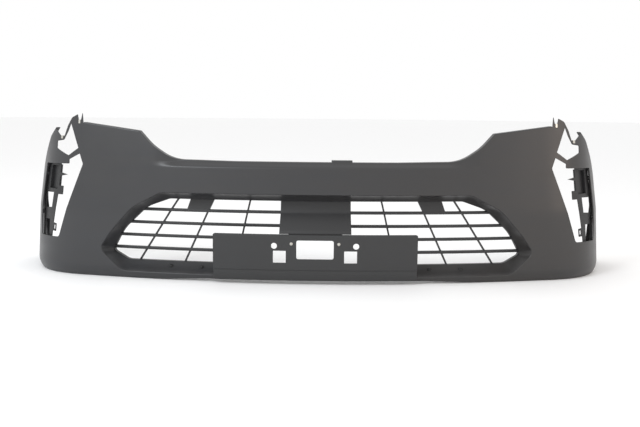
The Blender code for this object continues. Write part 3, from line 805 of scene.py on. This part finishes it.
def cut_for_bending(mesh):
    """Cuts a flat solid finely where it has to curve."""
    bm = bmesh.new()
    bm.from_mesh(mesh)
    spread = max(abs(vert.co.x) for vert in bm.verts)
    low, high = min(vert.co.z for vert in bm.verts), max(vert.co.z for vert in bm.verts)
    spots = [FACE_CUT * (i + 0.5) for i in range(int(CORNER_START / FACE_CUT))]
    while spots[-1] < spread:
        spots.append(spots[-1] + CORNER_CUT)
    cuts = [(side * spot, Vector((1.0, 0.0, 0.0))) for spot in spots for side in (-1, 1)]
    heights = TUCK_CUTS + BAND_CUTS + [HEIGHT_CUT * i for i in range(2, 23)]
    cuts += [(height, Vector((0.0, 0.0, 1.0))) for height in heights if low < height < high]
    for spot, normal in cuts:
        geometry = bm.verts[:] + bm.edges[:] + bm.faces[:]
        bmesh.ops.bisect_plane(bm, geom=geometry, plane_co=normal * spot, plane_no=normal, dist=1e-6)
    return to_mesh(bm)


# ---------------------------------------------------------------- finishes


def new_finish(name, roughness, metallic=0.0):
    """A material with its Principled shader. Gives the tree, the shader and the object coordinates."""
    material = bpy.data.materials.new(name)
    material.use_nodes = True
    material.node_tree.nodes.clear()
    tree = Tree(material.node_tree)
    shader = tree.add("ShaderNodeBsdfPrincipled", inputs={"Roughness": roughness, "Metallic": metallic})
    tree.add("ShaderNodeOutputMaterial", inputs={"Surface": shader})
    place = tree.add("ShaderNodeTexCoord", output="Object")
    return material, tree, shader.socket.node, place


def noise(tree, place, scale, detail=2.0, roughness=0.5):
    inputs = {"Vector": place, "Scale": scale, "Detail": detail, "Roughness": roughness}
    return tree.add("ShaderNodeTexNoise", inputs=inputs)


def stretched(tree, place, scale):
    return tree.add("ShaderNodeMapping", inputs={"Vector": place, "Scale": scale})


def threshold(tree, value, low, high):
    return tree.add("ShaderNodeValToRGB", {"stops": [(low, 0.0), (high, 1.0)]}, {"Fac": value})


def link(tree, value, shader, name):
    tree.tree.links.new(value.socket, shader.inputs[name])


def moulded_plastic(name, cool, warm, roughness, grain, grain_depth, painted_warm_reflection=0.0):
    """Moulded plastic: fine grain, slow tone changes, light scuffs and a little dust, plus a painted warm
    reflection that grows towards +X, as strong as the last argument.
    """
    material, tree, shader, place = new_finish(name, roughness)
    across = tree.add("ShaderNodeSeparateXYZ", inputs={0: place})
    cloud = noise(tree, place, 2.4, 3.0)
    blotch = noise(tree, place, 16.0, 4.0, 0.6)
    flow = noise(tree, stretched(tree, place, (3.0, 3.0, 26.0)), 1.6, 3.0)
    scratch_field = noise(tree, stretched(tree, place, (9.0, 9.0, 260.0)), 2.0, 5.0, 0.7)
    scratches = threshold(tree, scratch_field, 0.66, 0.76)
    dust = threshold(tree, noise(tree, place, 620.0, 2.0), 0.68, 0.78)
    # across times the last argument paints a warm reflection that grows towards the right (+X). cloud and
    # flow are real slow tone changes.
    tone_and_painted_reflection = cloud * 0.6 + flow * 0.4 + across * painted_warm_reflection
    tinted = tree.mixed(tone_and_painted_reflection, (*cool, 1.0), (*warm, 1.0))
    paler = tuple(channel * 2.4 + 0.02 for channel in cool)
    colour = tree.mixed(dust * 0.16 + scratches * 0.10, tinted, (*paler, 1.0))
    link(tree, colour, shader, "Base Color")
    rough = roughness + (blotch - 0.5) * 0.16 + (flow - 0.5) * 0.10 + scratches * 0.12 + dust * 0.15
    link(tree, rough, shader, "Roughness")
    height = noise(tree, place, grain, 3.0, 0.6) * 0.7 + noise(tree, place, grain / 9.0, 2.0) * 0.3
    inputs = {"Height": height - scratches * 0.2, "Strength": 0.55, "Distance": grain_depth}
    link(tree, tree.add("ShaderNodeBump", inputs=inputs), shader, "Normal")
    return material


def plated_steel():
    """Zinc plating: a warm sheen with faint clouding and turning marks."""
    material, tree, shader, place = new_finish("zinc_plated_steel", 0.32, 1.0)
    cloud = noise(tree, place, 260.0, 3.0)
    marks = noise(tree, stretched(tree, place, (1.0, 1.0, 14.0)), 900.0, 2.0)
    colour = tree.mixed(cloud, (0.62, 0.60, 0.54, 1.0), (0.48, 0.47, 0.44, 1.0))
    link(tree, colour, shader, "Base Color")
    link(tree, 0.26 + cloud * 0.14 + marks * 0.10, shader, "Roughness")
    inputs = {"Height": marks, "Strength": 0.3, "Distance": 0.00004}
    link(tree, tree.add("ShaderNodeBump", inputs=inputs), shader, "Normal")
    return material


# The skin's last argument, 0.25, paints a warm reflection that grows towards its right side.
SKIN = moulded_plastic(
    "skin_plastic", (0.030, 0.032, 0.036), (0.034, 0.031, 0.029), 0.36, 900.0, 0.00010, painted_warm_reflection=0.25
)
GRILLE = moulded_plastic(
    "grille_plastic", (0.022, 0.023, 0.025), (0.026, 0.025, 0.025), 0.46, 1100.0, 0.00014
)
BRACKET = moulded_plastic(
    "bracket_plastic", (0.026, 0.028, 0.030), (0.030, 0.029, 0.029), 0.55, 1300.0, 0.00022
)
BEZEL = moulded_plastic(
    "bezel_plastic", (0.014, 0.015, 0.017), (0.018, 0.017, 0.017), 0.52, 1200.0, 0.00018
)
NYLON = moulded_plastic("black_nylon", (0.010, 0.010, 0.011), (0.013, 0.013, 0.013), 0.42, 1800.0, 0.00008)
STEEL = plated_steel()

PLAN_CURVE = make_plan_curve()
WRAP_TREE = make_wrap_tree()
BAR_TREE = make_bar_tree()
SCREW_TREE = make_screw_tree()


# ---------------------------------------------------------------- making pieces


def node_modifier(item, tree, given):
    """Puts a Geometry Nodes tree on an object, its inputs set by their identifiers."""
    modifier = item.modifiers.new(tree.name, "NODES")
    modifier.node_group = tree
    for socket in tree.interface.items_tree:
        if socket.in_out == "INPUT" and socket.name in given:
            modifier[socket.identifier] = given[socket.name]


def piece(name, mesh, tree, given, nodes, body="cover", weighted=True, sharp=38.0):
    """Makes a finished piece: runs its tree, keeps the plain mesh, and ties it to the frame."""
    mesh.shade_smooth()
    if mesh.polygons:
        mesh.set_sharp_from_angle(angle=math.radians(sharp))
    item = bpy.data.objects.new(name, mesh)
    bpy.context.scene.collection.objects.link(item)
    node_modifier(item, tree, given)
    if weighted:
        smoother = item.modifiers.new("even_shading", "WEIGHTED_NORMAL")
        smoother.keep_sharp = True
        smoother.weight = 60
    graph = bpy.context.evaluated_depsgraph_get()
    result = bpy.data.meshes.new_from_object(item.evaluated_get(graph))
    item.modifiers.clear()
    item.data = result
    result.name = name
    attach(item, body)
    if nodes:
        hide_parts(*nodes)
    return item


def wrapped_piece(name, flat, material, nodes):
    given = {"Plan": PLAN_CURVE, **PROFILE, "Finish": material}
    return piece(name, cut_for_bending(flat), WRAP_TREE, given, nodes)


def placed_piece(name, mesh, matrix, material, nodes, body="cover", sharp=38.0):
    """A piece whose mesh is made about its own axis and set in place."""
    mesh.transform(matrix)
    mesh.materials.clear()
    mesh.materials.append(material)
    mesh.shade_smooth()
    mesh.set_sharp_from_angle(angle=math.radians(sharp))
    item = bpy.data.objects.new(name, mesh)
    bpy.context.scene.collection.objects.link(item)
    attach(item, body)
    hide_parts(*nodes)
    return item


def sided(name, side):
    return ("right_" if side > 0 else "left_") + name


# ---------------------------------------------------------------- bumper skin


def skin_outline():
    start, end, height = TAB
    tab = [(start, TOP_MIDDLE), (start, TOP_MIDDLE + height), (end, TOP_MIDDLE + height), (end, TOP_MIDDLE)]
    right = TOP_EDGE + WING_TOP + WHEEL_ARCH_EDGE + LOWER_EDGE
    return rounded(mirrored(right) + [(s, z, 0.0) for s, z in tab] + right)


def return_depth(s, z):
    """How deep the return behind the skin's outer edge is at this corner."""
    if abs(s) > LOWER_RETURN_START:
        return LOWER_RETURN
    if z <= OPENING_LOW:
        return LOWER_RETURN
    return TOP_RETURN if abs(s) < TOP_RETURN_END else 0.0


def make_skin():
    outline = skin_outline()
    moves = outward(outline)
    depths = [return_depth(s, z) for s, z in outline]
    face = [
        (s - move.x * FOLD_RADIUS, z - move.y * FOLD_RADIUS) if depth else (s, z)
        for (s, z), move, depth in zip(outline, moves, depths)
    ]
    opening = grille_opening()
    inward = [-move for move in outward(opening)]
    lip = grown(opening, RECESS_LIP)
    cutouts = [rounded(on_side(cutout, side)) for cutout in (UPPER_CUTOUT, LOWER_CUTOUT) for side in (-1, 1)]
    bm, rings = sheet(face, [lip, *cutouts])
    fold_back(bm, rings[0], outline, moves, depths, FOLD_RADIUS)
    ring = rings[1]
    for step in range(1, FOLD_STEPS + 1):
        turn = math.pi / 2.0 * step / FOLD_STEPS
        out, back = RECESS_LIP * (math.sin(turn) - 1.0), RECESS_LIP * (1.0 - math.cos(turn))
        places = [(s + m.x * out, back, z + m.y * out) for (s, z), m in zip(opening, inward)]
        ring = ring_on(bm, ring, places)
    first = RECESS_LIP / RECESS_DEPTH
    for i in range(1, RECESS_RINGS + 1):
        share = first + (1.0 - first) * i / RECESS_RINGS
        toward = share**RECESS_CURVE
        places = [
            (s + (u - s) * toward, RECESS_DEPTH * share, z + (v - z) * toward)
            for (s, z), (u, v) in zip(opening, recess_loop())
        ]
        ring = ring_on(bm, ring, places)
    skin = thickened(bm, WALL)
    wrapped_piece("cover_skin", skin, SKIN, ["bumper_skin"])
    bosses = []
    for side in (-1, 1):
        for s, z in BEZEL_SCREWS:
            bosses.append(slab(circle(side * s, z, BOSS_RADIUS), WALL / 2, BOSS_END, edge=0.0004))
    wrapped_piece("screw_bosses", merged(bosses), SKIN, [])


# ---------------------------------------------------------------- lower grille


def line_drawing(lines):
    """Edges between flat points, for the bars to follow."""
    bm = bmesh.new()
    for start, end in lines:
        bm.edges.new((bm.verts.new(start), bm.verts.new(end)))
    return to_mesh(bm)


def bars(name, lines, front, back, thickness, corner, nodes=()):
    given = {
        "Plan": PLAN_CURVE,
        **PROFILE,
        "Bar Depth": back - front,
        "Bar Thickness": thickness,
        "Rounding": corner,
        "Step": 0.012,
        "Finish": GRILLE,
    }
    middle = (front + back) / 2.0
    drawing = line_drawing([((s0, middle, z0), (s1, middle, z1)) for (s0, z0), (s1, z1) in lines])
    return piece(name, drawing, BAR_TREE, given, list(nodes))


def make_grille():
    loop = recess_loop()
    frame_solid = slab(grown(loop, FRAME_OVERLAP), GRILLE_FRONT, GRILLE_BACK, [loop], edge=0.001)
    wrapped_piece("grille_frame", frame_solid, GRILLE, ["lower_grille"])
    slats, uprights = [], []
    for side in (-1, 1):
        for z in SLAT_HEIGHTS:
            inner = MIDDLE_HALF - CHEEK_WALL / 2 if z > MIDDLE_FOOT[1] else END_POST[0] + CHEEK_WALL / 2
            outer = reach(loop, z) + FRAME_OVERLAP / 2
            slats.append(((side * inner, z), (side * outer, z)))
        for (s0, z0), (s1, z1) in UPRIGHTS:
            uprights.append(((side * s0, z0), (side * s1, z1)))
    bars("grille_slats", slats, SLAT_FRONT, SLAT_BACK, SLAT_THICKNESS, SLAT_ROUNDING)
    bars("grille_uprights", uprights, UPRIGHT_FRONT, UPRIGHT_BACK, UPRIGHT_THICKNESS, UPRIGHT_ROUNDING)
    patches = [slab(on_side(BLANK_PATCH, side), PATCH_FRONT, PATCH_BACK, edge=0.0008) for side in (-1, 1)]
    wrapped_piece("grille_blank_patches", merged(patches), GRILLE, [])
    make_grille_middle()


def make_grille_middle():
    """The solid middle that comes forward to the bracket, its cheeks, end posts and foot."""
    back = [(d + MIDDLE_WALL, z) for d, z in reversed(MIDDLE_PROFILE)]
    middle = bar([*MIDDLE_PROFILE, *back], -MIDDLE_HALF, MIDDLE_HALF, edge=0.0012)
    low, high = MIDDLE_FOOT
    outline = rounded(rectangle(0.0, (low + high) / 2, 2 * MIDDLE_FOOT_HALF, high - low, FOOT_CORNER))
    screw_holes = [circle(side * PLATE_SCREW[0], PLATE_SCREW[1], PLATE_SCREW_HOLE) for side in (-1, 1)]
    holes = [rounded(rectangle(*FOOT_WINDOW)), *screw_holes]
    parts = [middle, slab(outline, MIDDLE_FRONT, MIDDLE_FRONT + MIDDLE_WALL, holes)]
    top, bottom = MIDDLE_PROFILE[1:3]
    cheek_back = SLAT_BACK - 2 * GAP
    cheek = [top, bottom, (cheek_back, bottom[1]), (cheek_back, top[1])]
    for side in (-1, 1):
        inner, outer = sorted((side * (MIDDLE_HALF - CHEEK_WALL), side * (MIDDLE_HALF - GAP)))
        parts.append(bar([(d + GAP, z) for d, z in cheek], inner, outer, edge=0.0006))
        start, end = sorted((side * END_POST[0], side * END_POST[1]))
        middle_height, height = (END_POST_LOW + END_POST_TOP) / 2, END_POST_TOP - END_POST_LOW
        post = rounded(rectangle((start + end) / 2, middle_height, end - start, height, END_POST_CORNER), 4)
        parts.append(slab(post, SLAT_FRONT + GAP, SLAT_BACK - GAP, edge=0.0008))
    wrapped_piece("grille_middle", merged(parts), GRILLE, [])


# ---------------------------------------------------------------- number-plate bracket


def make_plate_bracket():
    height = PLATE_HIGH - PLATE_LOW
    outline = rounded(rectangle(0.0, PLATE_LOW + height / 2, 2 * PLATE_HALF, height, PLATE_CORNER))
    moves = outward(outline)
    face = grown(outline, -PLATE_ROUNDING)
    holes = [rounded(rectangle(*WINDOW))]
    for side in (-1, 1):
        s, z, width, tall, radius = SQUARE_HOLE
        holes.append(rounded(rectangle(side * s, z, width, tall, radius), 4))
        holes.append(circle(side * ROUND_HOLE[0], *ROUND_HOLE[1:]))
        holes.append(circle(side * PLATE_SCREW[0], PLATE_SCREW[1], PLATE_SCREW_HOLE))
    bm, rings = sheet(face, holes)
    depth = PLATE_BACK - PLATE_FRONT
    fold_back(bm, rings[0], outline, moves, [depth] * len(outline), PLATE_ROUNDING)
    tray = thickened(bm, PLATE_WALL)
    step_band(tray, depth)
    bosses = []
    for side in (-1, 1):
        s, z = side * PLATE_SCREW[0], PLATE_SCREW[1]
        bore = [circle(s, z, PLATE_SCREW_HOLE)]
        bosses.append(slab(circle(s, z, PLATE_BOSS_RADIUS), PLATE_WALL - GAP, depth, bore))
    solid = merged([tray, *bosses])
    solid.transform(Matrix.Translation((0.0, PLATE_FRONT, 0.0)))
    wrapped_piece("plate_holder", solid, BRACKET, ["number_plate_bracket"])


def step_band(tray, depth):
    """Sets the lower band of the tray's face back behind the rest."""
    bm = bmesh.new()
    bm.from_mesh(tray)
    for height in (PLATE_STEP_HEIGHT - 0.0012, PLATE_STEP_HEIGHT):
        geometry = bm.verts[:] + bm.edges[:] + bm.faces[:]
        bmesh.ops.bisect_plane(bm, geom=geometry, plane_co=(0, 0, height), plane_no=(0, 0, 1), dist=1e-6)
    for vert in bm.verts:
        in_wall = vert.co.y < depth / 2
        if in_wall and vert.co.z < PLATE_STEP_HEIGHT - 0.001:
            vert.co.y += PLATE_STEP
    bm.normal_update()
    bm.to_mesh(tray)
    bm.free()


# ---------------------------------------------------------------- bezel brackets


def make_bezel_bracket(side):
    holes = [list(on_side(window, side)) for window in BEZEL_WINDOWS]
    holes += [circle(side * s, z, BEZEL_SCREW_HOLE, 24) for s, z in BEZEL_SCREWS]
    pocket = on_side(POCKET, side)
    bm, rings = sheet(rounded(on_side(BEZEL_OUTLINE, side), 5), [pocket, *holes])
    floor = ring_on(bm, rings[1], [(s, POCKET_DEPTH, z) for s, z in pocket])
    bm.faces.new(floor)
    solid = thickened(bm, BEZEL_WALL, edge=0.0004)
    solid.transform(Matrix.Translation((0.0, BEZEL_FRONT, 0.0)))
    node = sided("bezel_bracket", side)
    wrapped_piece(sided("bezel_carrier", side), solid, BEZEL, [node])


# ---------------------------------------------------------------- fasteners


def make_screw(name, matrix, length, node):
    given = {
        **SCREW_SIZES,
        "Length": length,
        "Place": matrix.translation,
        "Turn": Vector(matrix.to_euler()),
        "Finish": STEEL,
    }
    empty = bpy.data.meshes.new("screw")
    made = piece(name, empty, SCREW_TREE, given, [node], weighted=False)
    made.data.set_sharp_from_angle(angle=math.radians(30.0))


def make_screws():
    for side in (-1, 1):
        s, z = PLATE_SCREW
        at = local_frame(side * s, PLATE_FRONT - GAP, z)
        node = sided("plate_bracket_screw", side)
        make_screw(sided("holder_screw", side), at, PLATE_SCREW_LENGTH, node)
        for number, (s, z) in enumerate(BEZEL_SCREWS, 1):
            at = local_frame(side * s, BEZEL_FRONT + BEZEL_WALL + BEZEL_SCREW_LIFT, z)
            backward = Matrix.Rotation(math.pi, 4, "X")
            name = sided(f"carrier_screw_{number}", side)
            make_screw(name, at @ backward, BEZEL_SCREW_LENGTH, sided(f"bezel_screw_{number}", side))


def retainer_places():
    return [side * s for side in (-1, 1) for s in RETAINERS]


def make_retainers():
    """Each push retainer: a flanged grommet with a split barrel, and a centre pin with a slotted head."""
    top = GAP + GROMMET_HEAD_HEIGHT
    lip = 0.0005
    grommet = [
        (GROMMET_BORE, top - lip),
        (GROMMET_BORE + lip, top),
        (GROMMET_HEAD - 2 * lip, top),
        (GROMMET_HEAD, top - 2 * lip),
        (GROMMET_HEAD, GAP),
        (GROMMET_BARREL, GAP),
        (GROMMET_BARREL, -GROMMET_LENGTH * 0.6),
        (GROMMET_BARREL * 0.86, -GROMMET_LENGTH),
        (GROMMET_BORE, -GROMMET_LENGTH),
    ]
    base = top + GAP
    crown = base + PIN_HEAD_HEIGHT
    pin = [
        (0.0, crown),
        (0.55 * PIN_HEAD, crown - 0.0001),
        (0.80 * PIN_HEAD, crown - 0.0005),
        (PIN_HEAD, base + 0.3 * PIN_HEAD_HEIGHT),
        (PIN_HEAD, base),
        (PIN_RADIUS, base),
        (PIN_RADIUS, -PIN_LENGTH + 0.002),
        (0.6 * PIN_RADIUS, -PIN_LENGTH),
        (0.0, -PIN_LENGTH),
    ]
    for number, s in enumerate(retainer_places(), 1):
        at = local_frame(s, *RETAINER_PLACE, RETAINER_TILT)
        slots = [slot_cutter(GROMMET_LENGTH, turn) for turn in (0.0, 90.0)]
        split = combined(turned(grommet), slots[0], "DIFFERENCE")
        split = combined(split, slots[1], "DIFFERENCE")
        node = f"retainer_grommet_{number}"
        placed_piece(f"clip_collar_{number}", split, at, NYLON, [node])
        slotted = combined(turned(pin), head_slot(crown), "DIFFERENCE")
        node = f"retainer_pin_{number}"
        body = f"pin_{number}"
        placed_piece(f"clip_pin_{number}", slotted, at, NYLON, [node], body)


def box_mesh(low, high):
    bm = bmesh.new()
    bmesh.ops.create_cube(bm, size=1.0)
    for vert in bm.verts:
        for axis in range(3):
            vert.co[axis] = low[axis] if vert.co[axis] < 0.0 else high[axis]
    return to_mesh(bm)


def slot_cutter(length, turn):
    """A thin blade that splits the end of a barrel."""
    blade = box_mesh((-0.006, -0.0004, -length - 0.001), (0.006, 0.0004, -length * 0.35))
    blade.transform(Matrix.Rotation(math.radians(turn), 4, "Z"))
    return blade


def head_slot(crown):
    """The screwdriver slot across the head of a pin."""
    half_length, half_width, depth = PIN_SLOT
    return box_mesh((-half_length, -half_width, crown - depth), (half_length, half_width, crown + 0.001))


def make_spring_nuts():
    """Folded steel clips that straddle the top edge of each wing."""
    for side in (-1, 1):
        for where, (s, edge, width, leg) in SPRING_NUTS.items():
            front, back = -GAP, WALL + 2 * GAP
            top, foot = edge + GAP, edge - leg
            profile = [
                (front, foot),
                (front, top),
                (back, top),
                (back, foot),
                (back + SPRING_STEEL, foot),
                (back + SPRING_STEEL, top + SPRING_STEEL),
                (front - SPRING_STEEL, top + SPRING_STEEL),
                (front - SPRING_STEEL, foot),
            ]
            start, end = side * s - width / 2, side * s + width / 2
            clip = bar(profile, start, end, edge=0.00035)
            node = sided(f"{where}_spring_nut", side)
            wrapped_piece(sided(f"{where}_edge_clip", side), clip, STEEL, [node])


# ---------------------------------------------------------------- studio


def make_floor():
    bm = bmesh.new()
    bmesh.ops.create_circle(bm, cap_ends=True, segments=96, radius=FLOOR_RADIUS)
    floor = bpy.data.objects.new("studio_floor", to_mesh(bm))
    bpy.context.scene.collection.objects.link(floor)
    material, _, shader, _ = new_finish("pale_floor", 0.9)
    shader.inputs["Base Color"].default_value = (0.94, 0.94, 0.94, 1.0)
    floor.data.materials.append(material)


def soft_light(name, place, target, size, power, colour):
    data = bpy.data.lights.new(name, "AREA")
    data.shape = "RECTANGLE"
    data.size, data.size_y = size
    data.energy = power
    data.color = colour
    item = bpy.data.objects.new(name, data)
    item.location = place
    item.rotation_euler = (Vector(target) - Vector(place)).to_track_quat("-Z", "Y").to_euler()
    bpy.context.scene.collection.objects.link(item)


def make_studio():
    world = bpy.data.worlds.new("studio_air")
    world.use_nodes = True
    background = world.node_tree.nodes["Background"]
    background.inputs["Color"].default_value = (1.0, 1.0, 1.0, 1.0)
    background.inputs["Strength"].default_value = 1.0
    bpy.context.scene.world = world
    soft_light("left_softbox", (-2.2, -2.4, 2.6), (-0.4, -0.2, 0.3), (1.2, 1.2), 60.0, (0.92, 0.96, 1.0))
    soft_light("right_softbox", (2.8, -1.6, 1.2), (0.8, -0.1, 0.25), (0.9, 1.6), 14.0, (1.0, 0.80, 0.66))
    bpy.context.scene.view_settings.view_transform = "Standard"


def make_camera():
    data = bpy.data.cameras.new("camera")
    data.lens = LENS
    data.sensor_width = 36.0
    camera = bpy.data.objects.new("camera", data)
    back = Vector((
        math.sin(CAMERA_AZIMUTH) * math.cos(CAMERA_ELEVATION),
        -math.cos(CAMERA_AZIMUTH) * math.cos(CAMERA_ELEVATION),
        math.sin(CAMERA_ELEVATION),
    ))
    camera.location = AIM + back * CAMERA_DISTANCE
    level = (-back).to_track_quat("-Z", "Y").to_matrix()
    camera.rotation_euler = (level @ Matrix.Rotation(CAMERA_ROLL, 3, "Z")).to_euler()
    bpy.context.scene.collection.objects.link(camera)
    bpy.context.scene.camera = camera


make_camera()
make_skin()
make_grille()
make_plate_bracket()
for wing in (-1, 1):
    make_bezel_bracket(wing)
make_screws()
make_retainers()
make_spring_nuts()
bpy.data.objects.remove(PLAN_CURVE)
make_floor()
make_studio()
